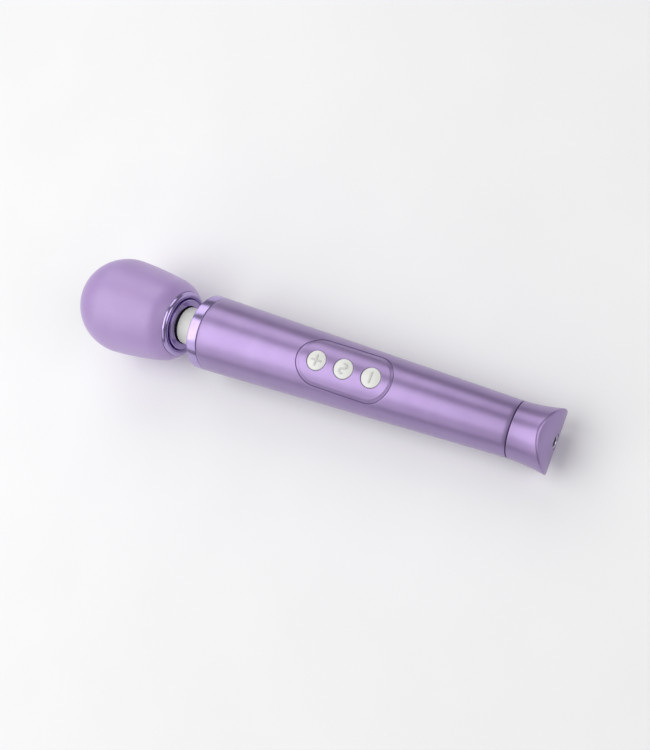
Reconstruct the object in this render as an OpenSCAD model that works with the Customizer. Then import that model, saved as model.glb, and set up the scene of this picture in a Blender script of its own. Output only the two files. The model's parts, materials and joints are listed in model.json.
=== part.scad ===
// Handheld wand massager, lying as it rests: buttons up, head towards -X.
// Every piece is drawn along the wand's own axis, where distance 0 is the front
// edge of the collar and distances grow towards the tail, and then laid down so
// that the head and the tail's rim touch the surface at Z = 0.

/* [Head] */
// Radius of the round front of the massage head
head_r = 24.1; // [23.6:0.1:30]
// Distance from the collar's front edge forward to the head's widest circle
head_reach = 51.4; // [50:0.1:56]
// Distance from the collar's front edge forward to the silicone's edge at the ring
ring_gap = 16.4; // [15.8:0.1:17.2]
// Radius of the long curve along the head's flank
flank_r = 226; // [190:1:400]
// Rounding of the head's rear shoulder
rear_round = 12.4; // [11.5:0.1:13.5]
// Thickness of the silicone cover
cover_t = 2.4; // [1.6:0.1:2.9]
// Wall of the hard core under the cover
core_t = 1.8; // [1.4:0.1:2.2]
// Outer radius of the polished ring behind the head
ring_r = 16.2; // [15.5:0.1:17]

/* [Neck] */
// Outer radius of the flexible neck sleeve
neck_r = 9.2; // [8.6:0.1:9.8]
// Wall of the neck sleeve
neck_t = 1.8; // [1.2:0.1:2]
// Mean radius of the neck's coil spring
spring_r = 5.6; // [5:0.1:6]
// Wire diameter of the neck's coil spring
spring_wire = 1.3; // [0.8:0.1:1.6]

/* [Handle] */
// Radius of the handle at the collar's front edge
nose_r = 18.4; // [18:0.1:23]
// Length from the collar's front edge to the tail seam
handle_len = 158.1; // [157:0.1:190]
// Radius of the handle at the tail seam
seam_r = 12.43; // [12.4:0.01:15]
// Wall of the handle sleeve
sleeve_t = 1.4; // [1:0.1:1.7]
// Length of the polished collar band
collar_len = 5.2; // [4.4:0.1:8]

/* [Tail] */
// Radius of the hollow curve that flares the tail
flare_r = 77; // [60:0.5:120]
// Length from the tail seam to the crown of the end face
tail_len = 17; // [15.5:0.1:20]
// Radius of the end face, which curves about a line across the wand
end_curve_r = 20; // [19:0.1:26]
// Radius of the bore that takes the charging plug
socket_bore_r = 1.3; // [1.25:0.01:1.8]

/* [Controls] */
// Distance from the collar's front edge to the middle button
panel_mid = 81.35; // [80:0.05:84]
// Length of the control panel
panel_len = 46.5; // [44:0.1:50]
// Width of the control panel
panel_w = 21.4; // [18.5:0.1:22]
// Diameter of each button
button_d = 9; // [8:0.1:10]
// Distance between neighbouring buttons
button_pitch = 13.45; // [12.5:0.05:14]
// How far a button travels
button_travel = 0.8; // [0.4:0.1:1]

/* [Motor and battery] */
// Outer radius of the motor can
can_r = 12.2; // [10:0.1:12.4]
// Length of the motor can
can_len = 25; // [22:0.1:25.4]
// Diameter of the motor shaft
shaft_d = 2.3; // [2:0.1:3]
// Radius of each eccentric weight
weight_r = 8.5; // [6:0.1:8.6]
// Diameter of the battery cell
cell_d = 18.1; // [14:0.1:18.2]
// Length of the battery cell
cell_len = 50; // [40:0.5:50]

/* [Hidden] */

$fn = 96;
// Slack between nested pieces that don't move against each other
fit = 0.05;
// Radial running clearance of the shaft in its bushes
running = 0.02;
// Reach of a cutting block, larger than any piece
far = 400;

satin = "#b9a3d6";
polished = "#cdbde6";
warm_white = "#e8ebe4";
steel = "#a9abb0";
black = "#2b2b30";

// Handle taper
taper = (nose_r - seam_r) / handle_len;
taper_deg = atan(taper);
function outer_r(s) = nose_r - taper * s;
function inner_r(s) = outer_r(s) - sleeve_t;

// Points of an arc in (radius, distance) coordinates
function arc(c, r, from, to, n) =
    [for (i = [0:n]) let (a = from + (to - from) * i / n) c + r * [cos(a), sin(a)]];
function reversed(v) = [for (i = [len(v) - 1:-1:0]) v[i]];

// Head outline: round front, long flank curve and rear shoulder are tangent arcs. The
// shoulder ends at the ring, and an inset outline is made of arcs about the same centres
head_s = -head_reach;
shoulder_deg = 3.7;
ring_seat = [ring_r + fit, -ring_gap];
flank_c = [0, head_s] + (head_r - flank_r) * [cos(shoulder_deg), sin(shoulder_deg)];
to_seat = ring_seat - flank_c;
corner_reach = flank_r - rear_round;
corner_deg = atan2(to_seat.y, to_seat.x)
    - acos((corner_reach * corner_reach + to_seat * to_seat - rear_round * rear_round)
        / (2 * corner_reach * norm(to_seat)));
corner_c = flank_c + corner_reach * [cos(corner_deg), sin(corner_deg)];
seat_deg = atan2(ring_seat.y - corner_c.y, ring_seat.x - corner_c.x);
function shoulder_end(inset, s) = asin((s - corner_c.y) / (rear_round - inset));
function head_path(inset, end_deg) = concat(
    arc([0, head_s], head_r - inset, -90, shoulder_deg, 24),
    arc(flank_c, flank_r - inset, shoulder_deg + (corner_deg - shoulder_deg) / 8, corner_deg, 7),
    arc(corner_c, rear_round - inset, corner_deg + (end_deg - corner_deg) / 8, end_deg, 7));

// Core and its screws
core_inset = cover_t + fit;
cavity_inset = core_inset + core_t;
core_rear_s = ring_seat.y - 6.35;
wall_in_s = core_rear_s - core_t;
split_s = head_s + 14;
sleeve_rubber_t = 1.35;
rubber_r = can_r + fit + sleeve_rubber_t;
boss_r = 2.1;
screw_r = 0.95;
screw_head_r = 1.7;
screw_circle_r = rubber_r + fit + boss_r;
head_screw_seat_s = core_rear_s - 2.7;
head_screw_end_s = split_s - 7;
rib_t = 2;
rib_s = [head_s - 6.6, head_s + 7.4];

// Motor, from its front weight to its rear weight
weight_t = 4;
weight_gap = 1.2;
front_weight_s = head_s - sqrt(pow(head_r - cavity_inset, 2) - weight_r * weight_r) + 0.6;
can_front_s = front_weight_s + weight_t + weight_gap;
can_rear_s = can_front_s + can_len;
end_cap_t = 2.2;
rear_weight_s = can_rear_s + end_cap_t + 1.5;
shaft_r = shaft_d / 2;
shaft_ends = [front_weight_s - 0.6, rear_weight_s + weight_t + 0.6];
can_t = 0.8;
magnet_t = 1.95;
air_gap = 0.5;
rotor_r = can_r - can_t - fit - magnet_t - air_gap;
stack_s = [can_front_s + 6.2, can_rear_s - 7.2];
winding_over = 1.6;
winding_w = 6.2;
stack_ring_t = 1.4;
winding_reach = sqrt(pow(rotor_r - stack_ring_t - 0.1, 2) - pow(winding_w / 2, 2));
bush_r = 3;
bush_len = 3;
commutator_r = 3;
commutator_s = [can_rear_s - 4.6, can_rear_s - 0.8];

// Neck, between the front plug in the head and the rear plug in the collar
lead_r = 0.6;
lead_y = 1.2;
lead_bore_r = 3;
spigot_r = neck_r - neck_t - 0.2;
plug_r = spigot_r + 1.2;
plug_flange_r = 11;
root_s = -12.8;
dish_s = -13.4;
neck_end_s = 3.9;
plug_front_s = -0.9;
spring_ends = [root_s + 1.8 + spring_wire / 2, plug_front_s - 0.15 - spring_wire / 2];
spring_turns = 5;
plug_plate_s = 4.05;
plug_plate_t = 3;
plug_plate_r = 14;
neck_screw_circle_r = 11.7;

// Collar
collar_hole_r = neck_r + 0.3;
collar_plate_t = 4;
collar_edge = 0.5;
collar_groove = 0.25;
skirt_end_s = collar_len + 9;
skirt_t = 1.5;

// Panel, buttons and board, measured down from the handle's surface at the panel
panel_gap = 0.25;
panel_lip = 1.2;
panel_lip_t = 1.2;
panel_depth = 12;
button_r = button_d / 2;
button_gap = 0.2;
dome_h = 0.6;
dome_edge = -0.05;
pocket_z = -2.2;
flange_r = button_r + 0.8;
flange_t = 0.7;
flange_z = pocket_z - 0.15;
stem_r = 1.5;
stem_z = flange_z - flange_t - 0.6;
plunger_z = stem_z - button_travel - 0.15;
switch_h = 1.8;
board_z = plunger_z - switch_h;
board_t = 1.2;
board_s = [panel_mid - 45, panel_mid + panel_len / 2 - 0.5];
board_rear_r = outer_r(board_s[1]);
board_w = 2 * sqrt(pow(board_rear_r - sleeve_t - fit - panel_lip_t, 2)
    - pow(board_rear_r + board_z + 0.4, 2));
membrane_t = 0.4;
symbol_w = 0.65;
symbol_len = 4.2;
symbol_z = dome_edge + dome_h + 0.18;

// Chassis
chassis_gap = 0.15;
chassis_t = 1.2;
chassis_inset = sleeve_t + chassis_gap;
chassis_s = [skirt_end_s + 1, handle_len - 9];
split_gap = 0.05;
bulkhead_t = 1.6;
bulkhead_hole_r = 4;
board_post = [[board_s[0] + 4, board_w / 2 - 3], [board_s[1] - 4, board_w / 2 - 3]];
board_post_r = 2;
chassis_screw_at = [chassis_s[0] + 8, 10.2];
opening_w = panel_w + 2 * panel_lip + 0.6;
opening_end_s = panel_mid + panel_len / 2 + panel_lip + 0.3;

// Battery, which follows the tail
cell_end_s = handle_len - 1.6;
cell_s = [cell_end_s - cell_len, cell_end_s];
cell_r = cell_d / 2;
tab_t = 0.3;

// Tail
seam_gap = 0.2;
tail_spigot_s = handle_len - 8.5;
tail_wall = 1.2;
tail_cavity_s = handle_len + 5;
crown_s = handle_len + tail_len;
end_axis_s = crown_s - end_curve_r;
socket_r = 3.5;
bezel_t = 1.5;
bezel_hole_r = 2.3;
socket_face_s = crown_s - 0.45 - bezel_t;
socket_len = 11;
socket_bore_len = 9;
socket_gap = 0.15;
tail_bore_r = inner_r(handle_len) - fit - tail_wall;
tail_neck_r = inner_r(handle_len) - fit - 0.4;

// Where the flare meets the end face on the underside, found by iteration
function flare_radius(x) = seam_r + flare_r - sqrt(flare_r * flare_r - x * x);
function rim_x(x, n) = n == 0 ? x
    : rim_x(tail_len - end_curve_r + sqrt(pow(end_curve_r, 2) - pow(flare_radius(x), 2)), n - 1);
rim_at = rim_x(0.7 * tail_len, 20);
rim_s = handle_len + rim_at;
rim_r = flare_radius(rim_at);

// The wand leans until the head's round front and the tail's rim touch one plane
lean_a = head_reach + rim_s;
rest_tilt = asin(head_r / norm([lean_a, rim_r])) - atan2(rim_r, lean_a);
rest_z = rim_s * sin(rest_tilt) + rim_r * cos(rest_tilt);
rest_x = (head_r + head_reach * cos(rest_tilt) - end_axis_s * cos(rest_tilt) - end_curve_r) / 2;

module resting() translate([rest_x, 0, rest_z]) rotate([0, rest_tilt, 0]) children();
module lathe() rotate([0, 90, 0]) rotate_extrude() children();
module along(s0, s1) translate([s0, 0, 0]) rotate([0, 90, 0]) linear_extrude(s1 - s0) children();
module rod(s0, s1, r) translate([s0, 0, 0]) rotate([0, 90, 0]) cylinder(h = s1 - s0, r = r);
module tube(s0, s1, r_in, r_out) along(s0, s1) difference() {
    circle(r_out);
    circle(r_in);
}
module from_s(s) translate([s, -far / 2, -far / 2]) cube(far);
module up_to_s(s) translate([s - far, -far / 2, -far / 2]) cube(far);
module above(z) translate([-far / 2, -far / 2, z]) cube(far);
module below(z) translate([-far / 2, -far / 2, z - far]) cube(far);
module around(n, r, turn = 0) for (i = [0:n - 1])
    rotate([turn + 360 * i / n, 0, 0]) translate([0, 0, r]) children();

// Screw along the wand's axis, its head towards the tail
module screw(tip_s, seat_s) {
    rod(tip_s, seat_s, screw_r);
    difference() {
        rod(seat_s, seat_s + 1.2, screw_head_r);
        translate([seat_s + 0.7, -0.3, -screw_head_r]) cube([1, 0.6, 2 * screw_head_r]);
    }
}

// ---- Head ----

module head_cover() resting() color(satin)
    lathe() polygon(concat(head_path(0, seat_deg), [[ring_seat.x, core_rear_s + fit]],
        reversed(head_path(cover_t, shoulder_end(cover_t, core_rear_s + fit)))));

module core_shell() lathe() polygon(concat(
    head_path(core_inset, shoulder_end(core_inset, core_rear_s)),
    [[plug_r + fit, core_rear_s], [plug_r + fit, wall_in_s]],
    reversed(head_path(cavity_inset, shoulder_end(cavity_inset, wall_in_s)))));

module core_rib(s) difference() {
    lathe() polygon(concat([[0, s]], [[head_r - core_inset - 0.9 - flank_drop(s), s],
        [head_r - core_inset - 0.9 - flank_drop(s + rib_t), s + rib_t]], [[0, s + rib_t]]));
    rod(s - 1, s + rib_t + 1, rubber_r + fit);
}
// How far the head's outline falls below its largest radius at a distance along the axis
function flank_drop(s) = s > head_s
    ? head_r - flank_c.x - sqrt(flank_r * flank_r - pow(s - flank_c.y, 2))
    : head_r - sqrt(head_r * head_r - pow(s - head_s, 2)) + 0.4;

module head_core_front() resting() color(warm_white) difference() {
    union() {
        intersection() {
            core_shell();
            up_to_s(split_s - fit);
        }
        for (s = rib_s) core_rib(s);
        around(3, screw_circle_r) rod(split_s - 10, split_s - fit, boss_r);
    }
    around(3, screw_circle_r) rod(head_screw_end_s - 0.5, split_s + 1, screw_r + running);
}

module head_core_rear() resting() color(warm_white) difference() {
    union() {
        intersection() {
            core_shell();
            from_s(split_s);
        }
        around(3, screw_circle_r) rod(split_s, head_screw_seat_s, boss_r);
    }
    around(3, screw_circle_r) rod(split_s - 1, core_rear_s + 1, screw_r + running);
    around(3, screw_circle_r) rod(head_screw_seat_s, core_rear_s + 1, screw_head_r + 0.2);
}

module head_screws() resting() color(steel)
    around(3, screw_circle_r) screw(head_screw_end_s, head_screw_seat_s);

// Polished ring: a rounded lip, a groove inside it and a shallow dish to the neck
module head_trim_ring() resting() color(polished) {
    lip_r = 1.7;
    lip_c = [ring_r - lip_r, ring_seat.y + 0.2];
    groove_s = lip_c.y - 1;
    lathe() polygon(concat(
        [[neck_r + 0.25, core_rear_s + fit], [ring_r, core_rear_s + fit]],
        arc(lip_c, lip_r, 0, 90, 8),
        [[lip_c.x - 0.7, lip_c.y + 1.2], [lip_c.x - 0.9, groove_s], [ring_r - 3.3, groove_s],
            [ring_r - 3.6, dish_s + 0.1], [ring_r - 4, dish_s + 0.4], [neck_r + 0.25, dish_s]]));
}

module neck_plug_front() resting() color(steel) difference() {
    union() {
        rod(wall_in_s - fit, -14, plug_r);
        rod(wall_in_s - fit - 2, wall_in_s - fit, plug_flange_r);
        rod(-14, root_s + 1.6, spigot_r);
    }
    rod(wall_in_s - 4, 0, lead_bore_r);
}

module motor_can() resting() color(steel) difference() {
    rod(can_front_s, can_rear_s - fit, can_r);
    rod(can_front_s + can_t, can_rear_s + 1, can_r - can_t);
    rod(can_front_s - 1, can_rear_s, bush_r + fit);
}

module motor_end_cap() resting() color(black) difference() {
    union() {
        rod(can_rear_s, can_rear_s + end_cap_t, can_r);
        tube(can_rear_s - 3, can_rear_s, can_r - can_t - fit - 1.2, can_r - can_t - fit);
    }
    rod(can_rear_s - 4, can_rear_s + end_cap_t + 1, bush_r + fit);
}

module motor_magnets() resting() color(black) difference() {
    tube(can_front_s + 5, can_rear_s - 6, can_r - can_t - fit - magnet_t, can_r - can_t - fit);
    for (side = [0, 180]) rotate([side, 0, 0])
        translate([can_front_s, -3, 0]) cube([can_len, 6, can_r]);
}

module motor_brushes() resting() color("#b87333") for (side = [-1, 1])
    translate([(commutator_s[0] + commutator_s[1]) / 2, side * (commutator_r + running + 2), 0])
        cube([2.4, 4, 1.6], center = true);

module motor_bush_front() resting() color("#b08d57")
    tube(can_front_s - 0.6, can_front_s - 0.6 + bush_len, shaft_r + running, bush_r);

module motor_bush_rear() resting() color("#b08d57")
    tube(can_rear_s - 0.4, can_rear_s - 0.4 + bush_len, shaft_r + running, bush_r);

module motor_sleeve() resting() color(black)
    tube(can_front_s + 1.5, can_rear_s - 1.5, can_r + fit, rubber_r);

module head_leads() resting() color("#a03030") for (side = [-1, 1]) {
    turn_s = shaft_ends[1] + 1.2;
    outer_y = weight_r + 1.6;
    translate([0, side * outer_y, 0]) rod(can_rear_s + end_cap_t + fit, turn_s, lead_r);
    translate([turn_s, side * outer_y, 0]) sphere(lead_r);
    translate([turn_s, side * outer_y, 0]) rotate([side * 90, 0, 0])
        cylinder(h = outer_y - lead_y, r = lead_r);
    translate([turn_s, side * lead_y, 0]) sphere(lead_r);
    translate([0, side * lead_y, 0]) rod(turn_s, root_s - 0.4, lead_r);
}

// ---- Rotor ----

module motor_shaft() resting() color(steel) rod(shaft_ends[0], shaft_ends[1], shaft_r);

module armature_core() resting() color("#6d6d72") along(stack_s[0], stack_s[1]) difference() {
    union() {
        difference() {
            circle(rotor_r);
            circle(rotor_r - stack_ring_t);
        }
        circle(3.2);
        for (a = [0:120:240]) rotate(a) translate([0, -1.5]) square([rotor_r - 0.7, 3]);
    }
    circle(shaft_r + 0.01);
    for (a = [60:120:300]) rotate(a) translate([rotor_r - 3, -0.9]) square([4, 1.8]);
}

module armature_windings() resting() color("#b87333") difference() {
    for (a = [0:120:240]) rotate([-a, 0, 0])
        translate([stack_s[0] - winding_over, -winding_w / 2, -winding_reach])
            cube([stack_s[1] - stack_s[0] + 2 * winding_over, winding_w, winding_reach - 3.6]);
    for (a = [0:120:240]) rotate([-a, 0, 0])
        translate([stack_s[0] - fit, -1.5 - fit, -rotor_r])
            cube([stack_s[1] - stack_s[0] + 2 * fit, 3 + 2 * fit, rotor_r]);
}

module commutator() resting() color("#b87333")
    tube(commutator_s[0], commutator_s[1], shaft_r + 0.01, commutator_r);

module eccentric_weights() resting() color(steel) for (s = [front_weight_s, rear_weight_s])
    along(s, s + weight_t) difference() {
        union() {
            intersection() {
                circle(weight_r);
                translate([0, -far / 2]) square(far);
            }
            circle(bush_r);
        }
        circle(shaft_r + 0.01);
    }

// ---- Neck ----

module neck_sleeve() resting() color(warm_white)
    tube(root_s, neck_end_s, neck_r - neck_t, neck_r);

// Coil spring: a round section carried along a helix about the wand's axis
module neck_spring() resting() color(steel) {
    steps = 20 * spring_turns;
    sides = 8;
    travel = spring_ends[1] - spring_ends[0];
    points = [for (i = [0:steps], k = [0:sides - 1])
        let (turn = 360 * spring_turns * i / steps, around_wire = 360 * k / sides,
            r = spring_r + spring_wire / 2 * cos(around_wire))
        [spring_ends[0] + travel * i / steps + spring_wire / 2 * sin(around_wire),
            r * cos(turn), r * sin(turn)]];
    skin = [for (i = [0:steps - 1], k = [0:sides - 1]) let (n = (k + 1) % sides)
        [i * sides + k, (i + 1) * sides + k, (i + 1) * sides + n, i * sides + n]];
    polyhedron(points, concat(skin, [[for (k = [0:sides - 1]) k],
        [for (k = [sides - 1:-1:0]) steps * sides + k]]), convexity = 8);
}

module neck_leads() resting() color("#a03030")
    for (side = [-1, 1]) translate([0, side * lead_y, 0]) rod(root_s, -0.6, lead_r);

// ---- Handle front ----

module front_collar() resting() color(polished) difference() {
    lathe() polygon([[collar_hole_r, 0], [nose_r - collar_edge, 0], [outer_r(collar_edge), collar_edge],
        [outer_r(collar_len), collar_len], [inner_r(collar_len) - fit, collar_len],
        [inner_r(skirt_end_s) - fit, skirt_end_s], [inner_r(skirt_end_s) - fit - skirt_t, skirt_end_s],
        [inner_r(collar_plate_t) - fit - skirt_t, collar_plate_t], [collar_hole_r, collar_plate_t]]);
    around(3, neck_screw_circle_r) rod(1.2, collar_plate_t + 1, screw_r + running);
}

module neck_plug_rear() resting() color(steel) difference() {
    union() {
        rod(plug_front_s, plug_plate_s, spigot_r);
        rod(plug_plate_s, plug_plate_s + plug_plate_t, plug_plate_r);
    }
    rod(-2, plug_plate_s + plug_plate_t + 1, lead_bore_r);
    around(3, neck_screw_circle_r) rod(plug_plate_s - 1, plug_plate_s + plug_plate_t + 1, screw_r + running);
}

module neck_screws() resting() color(steel)
    around(3, neck_screw_circle_r) screw(1.5, plug_plate_s + plug_plate_t + fit);

// ---- Handle sleeve, panel and controls ----

module cone_layer(s0, s1, inset, t) lathe() polygon([[outer_r(s0) - inset - t, s0], [outer_r(s0) - inset, s0],
    [outer_r(s1) - inset, s1], [outer_r(s1) - inset - t, s1]]);

// Panel coordinates: X runs along the handle's upper line, Z stands off its surface
module on_panel() translate([panel_mid, 0, outer_r(panel_mid)]) rotate([0, taper_deg, 0]) children();
module obround(l, w) {
    square([l - w, w], center = true);
    for (x = [-1, 1]) translate([x * (l - w) / 2, 0]) circle(w / 2);
}
module panel_block(grow) on_panel() translate([0, 0, -panel_depth])
    linear_extrude(panel_depth + 3) obround(panel_len + 2 * grow, panel_w + 2 * grow);
module at_buttons() for (i = [-1:1]) translate([i * button_pitch, 0, 0]) children();

module body_sleeve() resting() color(satin) difference() {
    cone_layer(collar_len + collar_groove, handle_len - seam_gap, 0, sleeve_t);
    panel_block(panel_gap);
}

module control_panel() resting() color(satin) difference() {
    union() {
        intersection() {
            cone_layer(collar_len, handle_len, 0, sleeve_t + fit + panel_lip_t / 2);
            panel_block(0);
        }
        intersection() {
            cone_layer(collar_len, handle_len, sleeve_t + fit, panel_lip_t);
            panel_block(panel_lip);
        }
    }
    on_panel() at_buttons() translate([0, 0, -panel_depth])
        cylinder(h = 2 * panel_depth, r = button_r + button_gap);
    on_panel() at_buttons() translate([0, 0, -panel_depth])
        cylinder(h = panel_depth + pocket_z, r = flange_r + button_gap);
}

// Domed cap, retaining flange and stem, turned about the button's own axis
module button(place) resting() color(warm_white) on_panel() translate([place * button_pitch, 0, 0]) {
    dome_r = (button_r * button_r + dome_h * dome_h) / (2 * dome_h);
    half_deg = asin(button_r / dome_r);
    rotate_extrude() polygon(concat(
        [[0, stem_z], [stem_r, stem_z], [stem_r, flange_z - flange_t], [flange_r, flange_z - flange_t],
            [flange_r, flange_z], [button_r, flange_z]],
        arc([0, dome_edge + dome_h - dome_r], dome_r, 90 - half_deg, 90, 8)));
    translate([0, 0, dome_edge]) linear_extrude(symbol_z - dome_edge) children();
}

module bar(along_x) square(along_x ? [symbol_len, symbol_w] : [symbol_w, symbol_len], center = true);

module button_plus() button(-1) {
    bar(true);
    bar(false);
}

// A wave of two half rings
module button_mode() button(0) for (turn = [0, 180]) rotate(turn) intersection() {
    translate([0, symbol_len / 4]) difference() {
        circle(symbol_len / 4 + symbol_w / 2);
        circle(symbol_len / 4 - symbol_w / 2);
    }
    translate([0, -symbol_len]) square(2 * symbol_len);
}

module button_minus() button(1) bar(false);

module button_membrane() resting() color(warm_white) on_panel() difference() {
    dome_top = flange_z - flange_t - fit;
    union() {
        translate([0, 0, board_z + fit]) linear_extrude(membrane_t)
            obround(2 * button_pitch + 2 * flange_r, 2 * flange_r);
        at_buttons() translate([0, 0, board_z + fit])
            cylinder(h = dome_top - board_z - fit, r1 = flange_r, r2 = flange_r - 1);
    }
    at_buttons() translate([0, 0, board_z - 1])
        cylinder(h = dome_top - board_z + 0.5, r1 = flange_r - 0.6, r2 = flange_r - 1.7);
    at_buttons() cylinder(h = 2 * panel_depth, r = stem_r + 0.3, center = true);
}

module tact_switches() resting() color(black) on_panel() at_buttons() translate([0, 0, board_z + fit]) {
    translate([-2.25, -2.25, 0]) cube([4.5, 4.5, switch_h - fit - 0.5]);
    cylinder(h = switch_h - fit, r = 1.1);
}

module circuit_board() resting() color("#2f6b45") on_panel() difference() {
    translate([board_s[0] - panel_mid, -board_w / 2, board_z - board_t])
        cube([board_s[1] - board_s[0], board_w, board_t]);
    for (p = board_post, side = [-1, 1])
        translate([p[0] - panel_mid, side * p[1], board_z - 2 * board_t])
            cylinder(h = 3 * board_t, r = screw_r + running);
}

// Controller, charger, inductor and connector on the underside and front of the board
module board_parts() resting() color(black) on_panel() {
    underside = board_z - board_t - fit;
    for (p = [[-12, 0, 7, 7, 1], [4, 3, 5, 4, 1], [12, -3, 4, 4, 2.4]])
        translate([p[0] - p[2] / 2, p[1] - p[3] / 2, underside - p[4]]) cube([p[2], p[3], p[4]]);
    translate([board_s[0] - panel_mid + 9, -4, board_z + fit]) cube([5, 8, 2.6]);
}

module board_screws() resting() color(steel) on_panel() for (p = board_post, side = [-1, 1])
    translate([p[0] - panel_mid, side * p[1], board_z + fit]) {
        translate([0, 0, -6]) cylinder(h = 6, r = screw_r);
        cylinder(h = 1, r = screw_head_r);
    }

// ---- Chassis ----

module chassis_body() cone_layer(chassis_s[0], chassis_s[1], chassis_inset, chassis_t);
module bulkhead(s, hole_r) difference() {
    lathe() polygon([[0, s], [outer_r(s) - chassis_inset - 0.3, s],
        [outer_r(s + bulkhead_t) - chassis_inset - 0.3, s + bulkhead_t], [0, s + bulkhead_t]]);
    rod(s - 1, s + bulkhead_t + 1, hole_r);
}
module inside_chassis() lathe() polygon([[0, chassis_s[0]],
    [outer_r(chassis_s[0]) - chassis_inset - 0.3, chassis_s[0]],
    [outer_r(chassis_s[1]) - chassis_inset - 0.3, chassis_s[1]], [0, chassis_s[1]]]);
module chassis_posts() for (side = [-1, 1]) translate([chassis_screw_at[0], side * chassis_screw_at[1], -30])
    cylinder(h = 60, r = boss_r);

module chassis_upper() resting() color(warm_white) difference() {
    union() {
        chassis_body();
        bulkhead(chassis_s[0], bulkhead_hole_r);
        intersection() {
            chassis_posts();
            inside_chassis();
        }
    }
    below(split_gap);
    translate([board_s[0] - 2, -opening_w / 2, 0]) cube([opening_end_s - board_s[0] + 2, opening_w, 30]);
    for (side = [-1, 1]) translate([chassis_screw_at[0], side * chassis_screw_at[1], -1])
        cylinder(h = 6.5, r = screw_r + running);
}

module chassis_lower() resting() color(warm_white) difference() {
    union() {
        intersection() {
            union() {
                chassis_body();
                bulkhead(chassis_s[0], bulkhead_hole_r);
                bulkhead(cell_s[0] - bulkhead_t - 0.8, bulkhead_hole_r);
                intersection() {
                    chassis_posts();
                    inside_chassis();
                }
            }
            below(-split_gap);
        }
        intersection() {
            for (p = board_post, side = [-1, 1]) translate([p[0], side * p[1], -30])
                cylinder(h = 60, r = board_post_r);
            inside_chassis();
            on_panel() below(board_z - board_t - fit);
        }
    }
    for (side = [-1, 1]) translate([chassis_screw_at[0], side * chassis_screw_at[1], -40]) {
        cylinder(h = 60, r = screw_r + running);
        cylinder(h = 40 - 7, r = screw_head_r + 0.2);
    }
    on_panel() for (p = board_post, side = [-1, 1])
        translate([p[0] - panel_mid, side * p[1], board_z - 7]) cylinder(h = 8, r = screw_r + running);
}

module chassis_screws() resting() color(steel)
    for (side = [-1, 1]) translate([chassis_screw_at[0], side * chassis_screw_at[1], -7]) {
        cylinder(h = 12, r = screw_r);
        translate([0, 0, -1.2]) cylinder(h = 1.2, r = screw_head_r);
    }

module handle_leads() resting() color("#a03030") for (side = [-1, 1]) {
    rise_s = board_s[0] + 2;
    translate([0, side * lead_y, 0]) rod(-0.2, rise_s, lead_r);
    translate([rise_s, side * lead_y, 0]) {
        sphere(lead_r);
        cylinder(h = outer_r(rise_s) + board_z - board_t - 0.3, r = lead_r);
    }
}

module battery_cell() resting() color("#3f6fb0") {
    rod(cell_s[0] + 0.8, cell_s[1], cell_r);
    rod(cell_s[0], cell_s[0] + 0.8, 3);
}

module battery_tabs() resting() color(steel) {
    translate([cell_s[0] - tab_t - fit, -2.5, -3]) cube([tab_t, 5, 9]);
    translate([cell_s[1] + fit, -2.5, -3]) cube([tab_t, 5, 6]);
}

module battery_foam() resting() color("#55555c") for (s = [cell_s[0] + 5, cell_s[0] + 33]) difference() {
    cone_layer(s, s + 6, chassis_inset + chassis_t + fit, 4);
    rod(s - 1, s + 7, cell_r + fit);
}

// ---- Tail ----

module tail_seal() resting() color(black)
    tube(handle_len - seam_gap + 0.02, handle_len + seam_gap - 0.02,
        tail_bore_r + tail_wall - 0.3, seam_r - 0.45);

module tail_cap() resting() color(satin) difference() {
    intersection() {
        lathe() polygon(concat([[0, tail_spigot_s], [inner_r(tail_spigot_s) - fit, tail_spigot_s],
            [tail_neck_r, handle_len - seam_gap], [tail_neck_r, handle_len + seam_gap]],
            [for (i = [0:10]) let (x = seam_gap + (tail_len + 1 - seam_gap) * i / 10)
                [flare_radius(x), handle_len + x]],
            [[0, crown_s + 1]]));
        union() {
            translate([end_axis_s, 0, 0]) rotate([90, 0, 0])
                cylinder(h = far, r = end_curve_r, center = true, $fn = 180);
            up_to_s(end_axis_s);
        }
    }
    rod(tail_spigot_s - 1, tail_cavity_s, tail_bore_r - 0.4);
    rod(tail_cavity_s - 1, crown_s + 1, socket_r + fit);
}

module charge_board() resting() color("#2f6b45") difference() {
    rod(handle_len + 1.4, handle_len + 2.4, tail_bore_r - 0.8);
    rod(handle_len, handle_len + 4, 1.2);
}

module charge_socket() resting() color(black) difference() {
    rod(socket_face_s - socket_gap - socket_len, socket_face_s - socket_gap, socket_r);
    rod(socket_face_s - socket_gap - socket_bore_len, socket_face_s + 1, socket_bore_r);
}

module socket_bezel() resting() color(steel)
    tube(socket_face_s, socket_face_s + bezel_t, bezel_hole_r, socket_r);

head_cover();
head_core_front();
head_core_rear();
head_trim_ring();
head_screws();
neck_plug_front();
motor_can();
motor_end_cap();
motor_magnets();
motor_brushes();
motor_bush_front();
motor_bush_rear();
motor_sleeve();
head_leads();
motor_shaft();
armature_core();
armature_windings();
commutator();
eccentric_weights();
neck_sleeve();
neck_spring();
neck_leads();
front_collar();
neck_plug_rear();
neck_screws();
body_sleeve();
control_panel();
button_plus();
button_mode();
button_minus();
button_membrane();
tact_switches();
circuit_board();
board_parts();
board_screws();
chassis_upper();
chassis_lower();
chassis_screws();
handle_leads();
battery_cell();
battery_tabs();
battery_foam();
tail_seal();
tail_cap();
charge_board();
charge_socket();
socket_bezel();
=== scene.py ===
"""Looks of the handheld wand massager: silicone head, flexible neck, satin handle, button panel, flared tail.

Sizes are in millimetres along the wand's own axis, where distance 0 is the collar's front edge and grows
towards the tail; wand() turns them into metres in the model's frame.
"""
import json
import math

import bmesh
import bpy
import numpy as np
from mathutils import Matrix, Vector


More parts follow.
